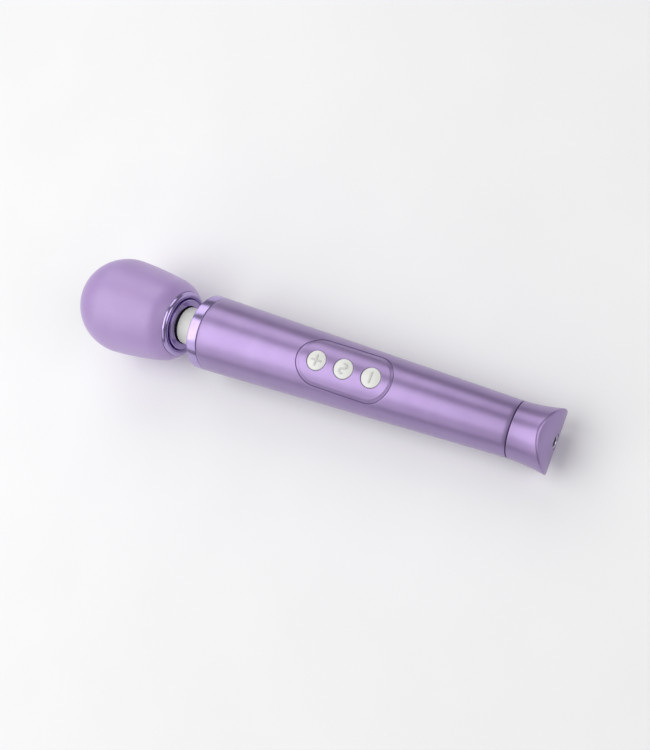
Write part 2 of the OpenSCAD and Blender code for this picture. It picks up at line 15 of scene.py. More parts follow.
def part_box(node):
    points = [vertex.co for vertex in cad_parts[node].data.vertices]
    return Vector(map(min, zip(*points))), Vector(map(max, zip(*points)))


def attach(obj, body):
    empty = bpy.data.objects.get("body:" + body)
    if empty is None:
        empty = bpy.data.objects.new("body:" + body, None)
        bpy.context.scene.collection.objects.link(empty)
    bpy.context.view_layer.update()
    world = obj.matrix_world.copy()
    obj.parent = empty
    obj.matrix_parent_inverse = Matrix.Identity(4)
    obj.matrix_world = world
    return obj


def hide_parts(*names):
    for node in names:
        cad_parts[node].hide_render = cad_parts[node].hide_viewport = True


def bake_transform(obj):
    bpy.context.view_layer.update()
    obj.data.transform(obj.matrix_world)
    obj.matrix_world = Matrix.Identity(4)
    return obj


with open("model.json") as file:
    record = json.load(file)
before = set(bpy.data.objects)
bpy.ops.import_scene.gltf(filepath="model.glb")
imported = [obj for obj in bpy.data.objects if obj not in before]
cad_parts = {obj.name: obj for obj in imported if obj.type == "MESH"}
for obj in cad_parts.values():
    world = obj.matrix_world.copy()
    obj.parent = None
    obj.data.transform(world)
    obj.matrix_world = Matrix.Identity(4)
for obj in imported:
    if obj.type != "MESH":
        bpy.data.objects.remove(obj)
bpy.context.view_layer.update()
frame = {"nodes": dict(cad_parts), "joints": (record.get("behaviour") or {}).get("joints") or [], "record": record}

# ---- Where the wand lies ----

MM = 0.001
JOINTS = {joint["name"]: joint for joint in frame["joints"]}
PITCH_AT = -3.5
YAW_AT = -9.5
AXIS = Vector(JOINTS["rotor_spin"]["axis"]).normalized()
SIDE = Vector((0, 1, 0))
UP = AXIS.cross(SIDE)
NOSE = Vector(JOINTS["neck_pitch"]["pos_m"]) - AXIS * PITCH_AT * MM


def wand(s, y, z):
    """Points in metres for distances s along the axis, y to the side and z up out of the buttons."""
    s, y, z = np.broadcast_arrays(s, y, z)
    return (np.array(NOSE) + MM * (s[..., None] * np.array(AXIS) + y[..., None] * np.array(SIDE)
                                   + z[..., None] * np.array(UP)))


def half_width(node):
    """Half of a node's width across the wand, in millimetres."""
    low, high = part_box(node)
    return (high.y - low.y) / 2 / MM


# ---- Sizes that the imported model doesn't give by itself ----

HEAD_R = half_width("head_cover")
HEAD_AT = -51.4
RING_AT = -16.4
RING_FRONT = RING_AT - 6.3
FLANK_R = 226.0
REAR_ROUND = 12.4
SHOULDER = 3.7
COVER_T = 2.4
RING_R = half_width("head_trim_ring")
SEAT_R = RING_R + 0.05
LIP_ROUND = 1.7
NECK_R = half_width("neck_sleeve")
NECK_T = 1.8
NECK_FRONT, NECK_REAR = -12.8, 3.9
SPRING_FRONT, SPRING_REAR = -10.35, -1.7
SPRING_R, WIRE_R = 5.6, 0.65
NOSE_R = half_width("front_collar")
SEAM_AT, SEAM_R = 158.1, 12.43
SLEEVE_T = 1.4
COLLAR_LEN = 5.2
TAPER = (NOSE_R - SEAM_R) / SEAM_AT
TAPER_ANGLE = math.atan(TAPER)
FLARE_R = 77.0
CROWN_AT = 175.1
END_CURVE_R = 20.0
SOCKET_R = half_width("charge_socket")
PANEL_AT = 81.35
PANEL_LEN, PANEL_W = 46.5, 21.4
PANEL_GAP = 0.25
BUTTON_R, BUTTON_PITCH, BUTTON_GAP = 4.5, 13.45, 0.2
TURNS = 192


def handle_radius(s):
    return NOSE_R - TAPER * s


# ---- Mesh making ----

def finished_mesh(name, points, quads, sharp=40):
    """A closed mesh from points and quads: equal points are merged, faces turned outwards and curves shaded
    smooth."""
    mesh = bpy.data.meshes.new(name)
    mesh.from_pydata(points.reshape(-1, 3).tolist(), [], quads.tolist())
    bm = bmesh.new()
    bm.from_mesh(mesh)
    bmesh.ops.remove_doubles(bm, verts=bm.verts, dist=2e-6)
    bmesh.ops.dissolve_degenerate(bm, edges=bm.edges, dist=1e-7)
    bmesh.ops.recalc_face_normals(bm, faces=bm.faces)
    bm.to_mesh(mesh)
    bm.free()
    mesh.shade_smooth()
    mesh.set_sharp_from_angle(angle=math.radians(sharp))
    piece = bpy.data.objects.new(name, mesh)
    bpy.context.scene.collection.objects.link(piece)
    return piece


def grid_quads(rows, columns, wrap=True, start=0):
    """Quads of a grid of points that is numbered row by row, joined across its last column if it wraps."""
    across = columns if wrap else columns - 1
    r, c = np.meshgrid(np.arange(rows - 1), np.arange(across), indexing="ij")
    n = (c + 1) % columns
    return start + np.stack([r * columns + c, r * columns + n, (r + 1) * columns + n, (r + 1) * columns + c],
                            axis=-1).reshape(-1, 4)


def skin(name, points, wrap=True, sharp=40):
    """One surface from a grid of points."""
    return finished_mesh(name, points, grid_quads(points.shape[0], points.shape[1], wrap), sharp)


def arc(r0, s0, radius, start, stop, steps):
    """Points (r, s) on a circle about (r0, s0), from one angle to another in degrees."""
    a = np.radians(np.linspace(start, stop, steps + 1))
    return np.stack([r0 + radius * np.cos(a), s0 + radius * np.sin(a)], axis=1)


def path(*parts):
    """One outline (r, s) from arcs and single points, in order."""
    return np.concatenate([np.atleast_2d(np.asarray(part, float)) for part in parts])


def turned(name, outline, sharp=40):
    """A body of revolution: the outline (r, s) carried round the wand's axis."""
    turn = np.linspace(0, 2 * math.pi, TURNS, endpoint=False)
    r, s = outline[:, :1], outline[:, 1:]
    return skin(name, wand(s + 0 * turn, r * np.sin(turn), r * np.cos(turn)), sharp=sharp)


def placed(piece, body, nodes, finish):
    """Puts a finished piece on its body in place of its CAD nodes."""
    piece.data.materials.append(finish)
    if isinstance(body, str):
        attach(piece, body)
    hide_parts(*nodes)
    return piece


# ---- Finishes ----

class Field:
    """A number that varies over a surface. Arithmetic on it adds the Math nodes that work it out."""

    def __init__(self, finish, socket):
        self.finish, self.socket = finish, socket

    def combined(self, operation, first, second):
        node = self.finish.node("ShaderNodeMath", {"operation": operation}, {0: first, 1: second})
        return Field(self.finish, node.outputs[0])

    def __add__(self, other):
        return self.combined("ADD", self, other)

    def __radd__(self, other):
        return self.combined("ADD", other, self)

    def __sub__(self, other):
        return self.combined("SUBTRACT", self, other)

    def __rsub__(self, other):
        return self.combined("SUBTRACT", other, self)

    def __mul__(self, other):
        return self.combined("MULTIPLY", self, other)

    def __rmul__(self, other):
        return self.combined("MULTIPLY", other, self)


class Finish:
    """A procedural material around one Principled shader, with its pattern fields in Object coordinates."""

    def __init__(self, name, **constants):
        self.material = bpy.data.materials.new(name)
        self.material.use_nodes = True
        self.tree = self.material.node_tree
        self.shader = self.tree.nodes["Principled BSDF"]
        for socket, value in constants.items():
            self.shader.inputs[socket.replace("_", " ")].default_value = value
        self.place = self.node("ShaderNodeTexCoord").outputs["Object"]

    def node(self, kind, settings=None, inputs=None):
        """Any node: its settings first, then the values or links of its sockets."""
        made = self.tree.nodes.new(kind)
        for key, value in (settings or {}).items():
            if key == "stops":
                elements = made.color_ramp.elements
                for i, (at, colour) in enumerate(value):
                    stop = elements[i] if i < 2 else elements.new(at)
                    stop.position, stop.color = at, (*colour, 1)
            else:
                setattr(made, key, value)
        for key, value in (inputs or {}).items():
            self.feed(made.inputs[key], value)
        return made

    def feed(self, socket, value):
        if isinstance(value, Field):
            value = value.socket
        if isinstance(value, bpy.types.NodeSocket):
            self.tree.links.new(value, socket)
        else:
            socket.default_value = value

    def noise(self, size_mm, detail=2.0, stretch=(1, 1, 1)):
        """Noise from 0 to 1 with features of about size_mm, drawn out along an axis by stretch."""
        mapping = self.node("ShaderNodeMapping", {"vector_type": "POINT"},
                            {"Vector": self.place, "Scale": tuple(1 / k for k in stretch)})
        node = self.node("ShaderNodeTexNoise", {}, {"Vector": mapping.outputs[0], "Scale": 1000 / size_mm,
                                                    "Detail": detail})
        return Field(self, node.outputs["Fac"])

    def turning_lines(self, pitch_mm):
        """Noise from 0 to 1 that varies only along the wand, as the marks of turning and brushing do."""
        along = self.node("ShaderNodeVectorMath", {"operation": "DOT_PRODUCT"},
                          {0: self.place, 1: tuple(AXIS)})
        lines = Field(self, along.outputs["Value"]) * (1000 / pitch_mm)
        node = self.node("ShaderNodeTexNoise", {"noise_dimensions": "1D"},
                         {"W": lines, "Scale": 1.0, "Detail": 3.0})
        return Field(self, node.outputs["Fac"])

    def colours(self, field, low, high):
        """Base colour that goes from low to high with the field."""
        ramp = self.node("ShaderNodeValToRGB", {"stops": [(0.3, low), (0.7, high)]}, {0: field})
        self.feed(self.shader.inputs["Base Color"], ramp.outputs[0])
        return self

    def roughness(self, field):
        self.feed(self.shader.inputs["Roughness"], field)
        return self

    def relief(self, field, depth_mm):
        """A fine bump of the given depth."""
        bump = self.node("ShaderNodeBump", {}, {"Height": field, "Distance": depth_mm * MM, "Strength": 1.0})
        self.feed(self.shader.inputs["Normal"], bump.outputs[0])
        return self


def srgb(red, green, blue):
    """A linear colour from its screen values, 0 to 255."""
    return tuple(((v / 255 + 0.055) / 1.055) ** 2.4 if v > 10 else v / 3294 for v in (red, green, blue))


def soft_silicone(name, low, high):
    """Matte moulded silicone: even colour with faint clouding, a dusty sheen and a very fine tooth."""
    finish = Finish(name, Subsurface_Weight=0.1, Subsurface_Scale=0.002, Subsurface_Radius=(1.0, 0.7, 0.9),
                    Specular_IOR_Level=0.7, Coat_Weight=0.5, Coat_Roughness=0.42, Coat_IOR=1.7)
    finish.colours(finish.noise(14, 3), low, high)
    finish.roughness(0.42 + 0.08 * finish.noise(1.2, 4))
    finish.relief(finish.noise(0.35, 3), 0.006)
    return finish.material


def satin_metal(name, low, high):
    """Anodised metal with a satin finish: fine marks round the wand and a soft clouding of the dye."""
    finish = Finish(name, Metallic=0.9, Specular_IOR_Level=0.6, Coat_Weight=0.5, Coat_Roughness=0.3)
    lines = finish.turning_lines(0.22)
    finish.colours(0.75 * finish.noise(9, 2) + 0.25 * lines, low, high)
    finish.roughness(0.32 + 0.1 * lines + 0.05 * finish.noise(3, 3))
    finish.relief(lines, 0.0012)
    return finish.material


def polished_metal(name, low, high):
    """Bright anodised metal with hairline polishing marks."""
    finish = Finish(name, Metallic=1.0)
    marks = finish.noise(0.4, 3, (1, 12, 12))
    finish.colours(finish.noise(7, 2), low, high)
    finish.roughness(0.17 + 0.08 * marks)
    finish.relief(marks, 0.0006)
    return finish.material


def moulded(name, low, high, rough=0.42, tooth=0.3, depth=0.004, metallic=0.0, coat=0.0):
    """Moulded, cast or plated parts: clouded colour, uneven gloss and a fine tooth."""
    finish = Finish(name, Metallic=metallic, Coat_Weight=coat, Coat_Roughness=0.2)
    finish.colours(finish.noise(5, 3), low, high)
    finish.roughness(rough - 0.05 + 0.1 * finish.noise(tooth * 4, 3))
    finish.relief(finish.noise(tooth, 3), depth)
    return finish.material


def button_plastic(name):
    """Glossy white moulding, a shade darker where the mesh marks the symbol's strokes."""
    finish = Finish(name, Coat_Weight=0.3, Coat_Roughness=0.2)
    stroke = Field(finish, finish.node("ShaderNodeAttribute", {"attribute_name": "stroke"}).outputs["Fac"])
    finish.colours(0.5 + 0.3 * finish.noise(5, 3) - 0.45 * stroke, srgb(206, 207, 204), srgb(235, 235, 231))
    finish.roughness(0.28 + 0.08 * finish.noise(1, 3))
    finish.relief(finish.noise(0.25, 3), 0.003)
    return finish.material


FINISHES = {
    "head_silicone": soft_silicone("lavender_silicone", srgb(173, 142, 203), srgb(179, 149, 207)),
    "satin_lavender": satin_metal("satin_lavender", srgb(155, 132, 180), srgb(163, 140, 187)),
    "polished_lavender": polished_metal("polished_lavender", srgb(172, 153, 203), srgb(180, 162, 209)),
    "neck_silicone": soft_silicone("white_silicone", srgb(222, 223, 216), srgb(228, 229, 223)),
    "button_white": button_plastic("white_buttons"),
    "socket_metal": moulded("bright_bezel", srgb(196, 190, 208), srgb(206, 202, 216), 0.14, 0.3, 0.001, 1.0),
    "seal_rubber": moulded("seam_rubber", srgb(58, 36, 92), srgb(66, 42, 102), 0.5),
    "socket_black": moulded("black_moulding", srgb(26, 25, 28), srgb(36, 35, 39), 0.45),
    "frame_plastic": moulded("nylon_frame", srgb(214, 215, 209), srgb(224, 225, 220), 0.5),
    "membrane_silicone": moulded("membrane", srgb(206, 206, 200), srgb(214, 214, 209), 0.55),
    "turned_metal": moulded("turned_metal", srgb(176, 176, 180), srgb(190, 190, 194), 0.28, 0.3, 0.002, 1.0),
    "plain_steel": moulded("plated_steel", srgb(158, 158, 162), srgb(174, 174, 178), 0.3, 0.3, 0.002, 1.0),
    "magnet_ferrite": moulded("ferrite", srgb(48, 48, 51), srgb(62, 62, 65), 0.6, 0.3, 0.01),
    "copper": moulded("copper", srgb(168, 98, 58), srgb(190, 114, 70), 0.3, 0.3, 0.003, 1.0),
    "bearing_bronze": moulded("bronze", srgb(160, 126, 74), srgb(176, 140, 86), 0.4, 0.2, 0.004, 1.0),
    "damper_rubber": moulded("damper_rubber", srgb(30, 30, 33), srgb(40, 40, 43), 0.7, 0.3, 0.01),
    "lead_insulation": moulded("lead_insulation", srgb(150, 38, 36), srgb(164, 46, 42), 0.4),
    "board_green": moulded("solder_mask", srgb(36, 92, 60), srgb(46, 106, 70), 0.3, 0.3, 0.003, coat=0.4),
    "cell_wrap": moulded("cell_wrap", srgb(54, 98, 160), srgb(66, 110, 172), 0.3, 0.6, 0.004),
    "foam_grey": moulded("foam", srgb(78, 78, 84), srgb(96, 96, 102), 0.9, 0.5, 0.06),
}


# ---- Head ----

def head_outline(inset, stop_at=None):
    """Half outline of the head: a round front, a long flank arc that is tangent to it, and a rear shoulder
    arc that is tangent to the flank and ends on the ring's wall. With b the distance from the flank's centre
    to the seat on the ring, the shoulder's centre lies where the law of cosines puts it: flank radius less
    shoulder radius from the one, shoulder radius from the other. An inset outline keeps the centres and
    shortens the radii."""
    turn = math.radians(SHOULDER)
    flank = np.array([0, HEAD_AT]) + (HEAD_R - FLANK_R) * np.array([math.cos(turn), math.sin(turn)])
    to_seat = np.array([SEAT_R, RING_AT]) - flank
    b, reach = np.linalg.norm(to_seat), FLANK_R - REAR_ROUND
    apart = math.acos((reach ** 2 + b ** 2 - REAR_ROUND ** 2) / (2 * reach * b))
    corner = math.atan2(to_seat[1], to_seat[0]) - apart
    shoulder = flank + reach * np.array([math.cos(corner), math.sin(corner)])
    end = math.atan2(RING_AT - shoulder[1], SEAT_R - shoulder[0])
    if stop_at is not None:
        end = math.asin((stop_at - shoulder[1]) / (REAR_ROUND - inset))
    corner, end = math.degrees(corner), math.degrees(end)
    return path(arc(0, HEAD_AT, HEAD_R - inset, -90, SHOULDER, 56),
                arc(*flank, FLANK_R - inset, SHOULDER, corner, 24)[1:],
                arc(*shoulder, REAR_ROUND - inset, corner, end, 24)[1:])


def silicone_cover():
    """The cover's outer outline runs down to the ring's wall, over a thin rounded lip, and back along the
    inset outline."""
    outer, inner = head_outline(0), head_outline(COVER_T, RING_FRONT)
    lip = path([SEAT_R + 0.07, RING_AT - 0.08], [SEAT_R, RING_AT - 0.2], [SEAT_R, RING_FRONT])
    outline = path(outer[:-1], lip, inner[::-1])
    outline[0, 0] = outline[-1, 0] = 0
    return placed(turned("head_silicone_cover", outline), "head", ["head_cover"], FINISHES["head_silicone"])


def trim_ring():
    """Outline of the polished ring: outer wall, a rounded lip, a groove, then a shallow dish to the neck."""
    lip = arc(RING_R - LIP_ROUND, RING_AT + 0.2, LIP_ROUND, 0, 170, 24)
    groove_at, dish_at = -17.1, -14.5
    hole_r = NECK_R + 0.25
    outline = path([hole_r, RING_FRONT], [RING_R, RING_FRONT], lip, [RING_R - 3.2, groove_at],
                   [RING_R - 3.4, groove_at], [RING_R - 3.5, dish_at - 0.1],
                   arc(RING_R - 3.9, dish_at, 0.4, 0, 90, 6), [RING_R - 5, dish_at + 0.3],
                   [NECK_R + 0.6, dish_at + 0.6], arc(NECK_R + 0.5, dish_at + 0.35, 0.25, 90, 180, 4),
                   [hole_r, RING_FRONT])
    return placed(turned("head_ring", outline, 50), "head", ["head_trim_ring"], FINISHES["polished_lavender"])


# ---- Neck ----

def neck_tube(name, front, rear, first, second):
    """A length of the neck sleeve with enough rings to bend, closed at both ends."""
    rings = 25
    along = np.linspace(front, rear, rings)
    outside = np.stack([np.full(rings, NECK_R), along], 1)
    inside = np.stack([np.full(rings, NECK_R - NECK_T), along[::-1]], 1)
    outline = path(outside, inside, [NECK_R, front])
    piece = placed(turned(name, outline), None, ["neck_sleeve"], FINISHES["neck_silicone"])
    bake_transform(piece)
    return piece


def coil(name, front, rear, turns, first, second):
    """A length of the coil spring: a round section carried along a helix about the axis, its ends closed by
    shrinking rings."""
    u = np.linspace(0, 1, 40 * turns + 1)[:, None]
    around = np.linspace(0, 2 * math.pi, 12, endpoint=False)
    thick = WIRE_R * np.minimum(1, np.minimum(u, 1 - u) * 40 * turns)
    r = SPRING_R + thick * np.cos(around)
    s = front + (rear - front) * u + thick * np.sin(around)
    piece = skin(name, wand(s, r * np.sin(2 * math.pi * turns * u), r * np.cos(2 * math.pi * turns * u)))
    placed(piece, None, ["neck_spring"], FINISHES["plain_steel"])
    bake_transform(piece)
    return piece


def neck():
    """The sleeve and its spring in two halves, split midway between the neck's two joints."""
    middle = (PITCH_AT + YAW_AT) / 2
    ends = {s: tuple(wand(s, 0, 0)) for s in (2 * YAW_AT - middle, middle, 2 * PITCH_AT - middle)}
    front_end, middle_end, rear_end = ends.values()
    rear_half = ("neck_mid", "handle"), (middle_end, rear_end)
    front_half = ("head", "neck_mid"), (front_end, middle_end)
    neck_tube("neck_sleeve_rear", middle, NECK_REAR, *rear_half)
    neck_tube("neck_sleeve_front", NECK_FRONT, middle, *front_half)
    coil("neck_spring_rear", middle, SPRING_REAR, 3, *rear_half)
    coil("neck_spring_front", SPRING_FRONT, middle, 2, *front_half)


# ---- Handle ----

def collar():
    """The polished band, its front edge rounded over into the plate round the neck, with the skirt inside."""
    edge, rear_edge, plate_t, skirt_t = 0.5, 0.25, 4, 1.5
    hole_r = NECK_R + 0.3
    inner = handle_radius(COLLAR_LEN) - SLEEVE_T - 0.05
    skirt_end = COLLAR_LEN + 9
    skirt = handle_radius(skirt_end) - SLEEVE_T - 0.05
    outline = path([hole_r, plate_t], arc(hole_r + 0.4, 0.4, 0.4, 180, 270, 5),
                   arc(NOSE_R - edge, edge, edge, -90, 0, 10),
                   arc(handle_radius(COLLAR_LEN) - rear_edge, COLLAR_LEN - rear_edge, rear_edge, 0, 90, 5),
                   [inner, COLLAR_LEN], [skirt, skirt_end], [skirt - skirt_t, skirt_end],
                   [inner - skirt_t - 0.1, plate_t], [hole_r, plate_t])
    return placed(turned("collar_band", outline, 50), "handle", ["front_collar"],
                  FINISHES["polished_lavender"])


PANEL_R = handle_radius(PANEL_AT)


def on_handle(x, y, depth):
    """Points (s, y, z) of the handle's surface, sunk by depth, that lie under plan places (x, y) of the
    panel, whose plane touches the handle along its upper line. The height is found by repeated
    substitution."""
    sin_t, cos_t = math.sin(TAPER_ANGLE), math.cos(TAPER_ANGLE)
    rise = np.zeros_like(x + y + depth)
    for _ in range(6):
        s = PANEL_AT + x * cos_t + rise * sin_t
        radius = handle_radius(s) - depth
        z = np.sqrt(radius * radius - y * y)
        rise = (z - PANEL_R + x * sin_t) / cos_t
    return s, y + 0 * s, z


def obround_reach(direction, half_len, half_w):
    """Distance from the centre of an obround to its outline in each direction."""
    c, s = np.abs(np.cos(direction)), np.abs(np.sin(direction))
    straight = half_len - half_w
    flat = half_w / np.maximum(s, 1e-9)
    rounded = straight * c + np.sqrt(np.maximum(half_w ** 2 - (straight * s) ** 2, 0))
    return np.where(flat * c <= straight, flat, rounded)


def sleeve():
    """The satin tube with its obround window. The stretch round the window is rings that start as the
    window's outline, grow as parallel obrounds past a rounded edge, and then pass evenly into the stretch's
    own edges; the stretches before and behind it are plain rings through the same points."""
    front, rear = COLLAR_LEN + 0.25, SEAM_AT - 0.2
    low, high = PANEL_AT - 32.0, PANEL_AT + 32.0
    across, along = 144, 40
    side = np.linspace(-1, 1, across + 1)[:-1]
    run = np.linspace(-1, 1, along + 1)[:-1]
    edge_s = np.concatenate([np.full(across, high), high - (run + 1) / 2 * (high - low), np.full(across, low),
                             low + (run + 1) / 2 * (high - low)])
    edge_turn = math.pi * np.concatenate([side, np.ones(along), -side, -np.ones(along)])
    direction = np.arctan2(edge_turn * PANEL_R, edge_s - PANEL_AT)
    edge_r = 0.15

    def window(grow, depth):
        margin = PANEL_GAP + grow
        reach = obround_reach(direction, PANEL_LEN / 2 + margin, PANEL_W / 2 + margin)
        x, y = reach * np.cos(direction), reach * np.sin(direction)
        s, y, z = on_handle(x, y, np.full_like(direction, depth))
        return s, np.arctan2(y, z), depth

    def spread(loop, share):
        s, turn, depth = loop
        return s + (edge_s - s) * share, turn + (edge_turn - turn) * share, depth

    rings = [spread(window(0.0, SLEEVE_T), share) for share in np.linspace(1, 0, 13)]
    rings += [window(edge_r - edge_r * math.cos(a), edge_r - edge_r * math.sin(a))
              for a in np.radians([0, 30, 60, 90])]
    rings += [window(grow, 0.0) for grow in (0.6, 1.2)]
    rings += [spread(window(1.2, 0.0), share) for share in np.linspace(0, 1, 25)[1:]]

    def cone(s, turn, depth):
        r = handle_radius(s) - depth
        return wand(s, r * np.sin(turn), r * np.cos(turn))

    middle = np.stack([cone(*ring) for ring in rings])
    turn = math.pi * side

    def tube(first, last):
        """From the window stretch's inner edge out to the end, over a rounded rim and back to its outer
        edge."""
        step = np.linspace(first, last, 24)
        inwards = math.copysign(0.2, first - last)
        s = np.concatenate([step, [last], [last, last + 0.3 * inwards, last + inwards], step[::-1][1:]])
        depth = np.concatenate([np.full(24, SLEEVE_T), [SLEEVE_T], [0.2, 0.06, 0.0], np.zeros(23)])
        return cone(s[:, None], turn, depth[:, None])

    parts = [middle, tube(low, front), tube(high, rear)]
    quads, start = [], 0
    for part in parts:
        quads.append(grid_quads(part.shape[0], part.shape[1], True, start))
        start += part.shape[0] * part.shape[1]
    points = np.concatenate([part.reshape(-1, 3) for part in parts])
    piece = finished_mesh("handle_sleeve", points, np.concatenate(quads))
    return placed(piece, "handle", ["body_sleeve"], FINISHES["satin_lavender"])


def panel():
    """The inlaid panel. Each button hole has its own cell of rays, from the hole's rim to the flat's outline
    or to the line midway to the next hole; a rim of parallel outlines steps down by a hair, rounds the edge,
    leaves a ledge under the groove and closes the wall."""
    rim_w, round_r, wall = 1.25, 0.15, 2.0
    half_len, half_w = PANEL_LEN / 2 - rim_w, PANEL_W / 2 - rim_w
    straight = half_len - half_w
    hole_r = BUTTON_R + BUTTON_GAP
    half_pitch = BUTTON_PITCH / 2
    corner = math.atan2(half_w, half_pitch)
    turn = np.linspace(0, 2 * math.pi, 120, endpoint=False)
    corners = [corner, math.pi - corner, math.pi + corner, 2 * math.pi - corner]
    rays = np.unique(np.concatenate([turn, corners]).round(9))
    share = np.concatenate([np.linspace(1, 0, 14), np.zeros(3), np.linspace(0, 1, 14)])
    from_r = np.concatenate([np.full(14, hole_r), [hole_r, hole_r, hole_r + 0.1], np.full(14, hole_r + 0.25)])
    depth = np.concatenate([np.full(14, wall), [0.25, 0.07, 0.02], np.zeros(14)])
    points, quads, outline, start = [], [], [], 0
    for place in (-1, 0, 1):
        centre = place * BUTTON_PITCH
        c, s = np.cos(rays), np.sin(rays)
        reach = half_w / np.maximum(np.abs(s), 1e-9)
        if place:
            end = place * straight - centre
            past = (centre + reach * c) * place > straight
            rounded = end * c + np.sqrt(np.maximum(half_w ** 2 - (end * s) ** 2, 0))
            reach = np.where(past, rounded, reach)
        border = np.where(c * place > 1e-9, np.inf, half_pitch / np.maximum(np.abs(c), 1e-9))
        on_edge = ~(border < reach - 1e-6)
        reach = np.minimum(reach, border)
        radius = from_r[:, None] + (reach - from_r[:, None]) * share[:, None]
        x, y = centre + radius * c, radius * s
        points.append(wand(*on_handle(x, y, depth[:, None] + 0 * x)).reshape(-1, 3))
        quads.append(grid_quads(len(share), len(rays), True, start))
        start += points[-1].shape[0]
        outline.append(np.stack([centre + reach * c, reach * s], 1)[on_edge])
    outline = np.concatenate(outline)
    outline = outline[np.argsort(np.arctan2(outline[:, 1], outline[:, 0]))]
    keep = np.linalg.norm(outline - np.roll(outline, 1, axis=0), axis=1) > 1e-5
    outline = outline[keep]
    hub = np.clip(outline[:, 0], -straight, straight)
    outward = np.stack([outline[:, 0] - hub, outline[:, 1]], 1) / half_w
    a = np.radians([90, 60, 30, 0])
    step, ledge, ledge_depth = 0.09, rim_w + PANEL_GAP - 0.05, 0.4
    grow = np.concatenate([[0, 0.03, 0.1, 0.16], rim_w - round_r + round_r * np.cos(a),
                           [rim_w, ledge, ledge, 0.0]])
    depth = np.concatenate([[0, 0.02, 0.07, step], step + round_r - round_r * np.sin(a),
                            [ledge_depth, ledge_depth, wall - 0.1, wall]])
    x = outline[:, 0] + grow[:, None] * outward[:, 0]
    y = outline[:, 1] + grow[:, None] * outward[:, 1]
    points.append(wand(*on_handle(x, y, depth[:, None] + 0 * x)).reshape(-1, 3))
    quads.append(grid_quads(len(grow), len(outline), True, start))
    piece = finished_mesh("control_panel_inlay", np.concatenate(points), np.concatenate(quads))
    return placed(piece, "handle", ["control_panel"], FINISHES["satin_lavender"])


# ---- Buttons ----

def rounded_step(distance, width):
    """1 inside a stroke, 0 outside, with a smooth flank of the given width about its edge."""
    t = np.clip(0.5 - distance / width, 0, 1)
    return t * t * (3 - 2 * t)


def bar_distance(x, y, along_x, half_len=2.2, half_w=0.45):
    """Distance to a round-ended bar through the centre."""
    a, b = (x, y) if along_x else (y, x)
    return np.hypot(np.maximum(np.abs(a) - half_len, 0), b) - half_w


def wave_distance(x, y, bend=1.1, half_w=0.4):
    """Distance to a wave of two half rings, one open to each side, with round ends."""
    gaps = []
    for sign in (1, -1):
        dx, dy = x * sign / 1.3, (y - sign * bend) * sign
        ring = np.abs(np.hypot(dx, dy) - bend)
        ends = np.minimum(np.hypot(dx, dy - bend), np.hypot(dx, dy + bend))
        gaps.append(np.where(dx >= 0, ring, ends))
    return np.minimum(*gaps) - half_w


def button(name, place, distance):
    """A domed cap: rings from the crown out over the rounded edge and down the skirt, flange and stem. The
    crown's height adds a raised symbol with soft flanks, and "stroke" marks it for the finish."""
    turn = np.linspace(0, 2 * math.pi, 180, endpoint=False)
    edge, dome, crown_rows, stroke_h, flank = 0.35, 0.6, 60, 0.38, 0.2
    dome_r = (BUTTON_R ** 2 + dome ** 2) / (2 * dome)
    top_r = np.linspace(0, BUTTON_R - edge, crown_rows)
    top_z = -0.05 + dome - dome_r + np.sqrt(dome_r ** 2 - top_r ** 2)
    a = np.radians(np.linspace(80, 0, 8))
    edge_r = BUTTON_R - edge + edge * np.cos(a)
    edge_z = top_z[-1] - edge + edge * np.sin(a)
    flange_r, flange_z, flange_t, stem_r, stem_z = BUTTON_R + 0.8, -2.35, 0.7, 1.5, -3.65
    skirt = np.array([[BUTTON_R, flange_z], [flange_r, flange_z], [flange_r, flange_z - flange_t],
                      [stem_r, flange_z - flange_t], [stem_r, stem_z], [0, stem_z]])
    r = np.concatenate([top_r, edge_r, skirt[:, 0]])[:, None]
    z = np.concatenate([top_z, edge_z, skirt[:, 1]])[:, None]
    x, y = r * np.cos(turn), r * np.sin(turn)
    on_crown = np.arange(len(r))[:, None] < crown_rows
    z = z + stroke_h * np.where(on_crown, rounded_step(distance(x, y), flank), 0.0)
    sin_t, cos_t = math.sin(TAPER_ANGLE), math.cos(TAPER_ANGLE)
    x = x + place * BUTTON_PITCH
    piece = skin(name + "_cap", wand(PANEL_AT + x * cos_t + z * sin_t, y, PANEL_R - x * sin_t + z * cos_t))
    at = np.empty(3 * len(piece.data.vertices))
    piece.data.vertices.foreach_get("co", at)
    at = (at.reshape(-1, 3) - wand(PANEL_AT, 0, PANEL_R)) / MM
    forward = cos_t * np.array(AXIS) - sin_t * np.array(UP)
    lift = sin_t * np.array(AXIS) + cos_t * np.array(UP)
    x, y, z = at @ forward - place * BUTTON_PITCH, at @ np.array(SIDE), at @ lift
    stroke = piece.data.attributes.new("stroke", "FLOAT", "POINT")
    stroke.data.foreach_set("value", np.where(z > -0.5, rounded_step(distance(x, y), flank), 0.0))
    return placed(piece, name, [name], FINISHES["button_white"])


# ---- Tail ----

def flare_radius(s):
    """Radius of the tail's hollow flare, an arc that starts along the axis at the seam."""
    x = s - SEAM_AT
    return SEAM_R + FLARE_R - np.sqrt(FLARE_R ** 2 - x * x)


def end_face_at(z):
    """Distance of the end face, a cylinder about a line across the wand, at a height z."""
    return CROWN_AT - END_CURVE_R + np.sqrt(END_CURVE_R ** 2 - z * z)


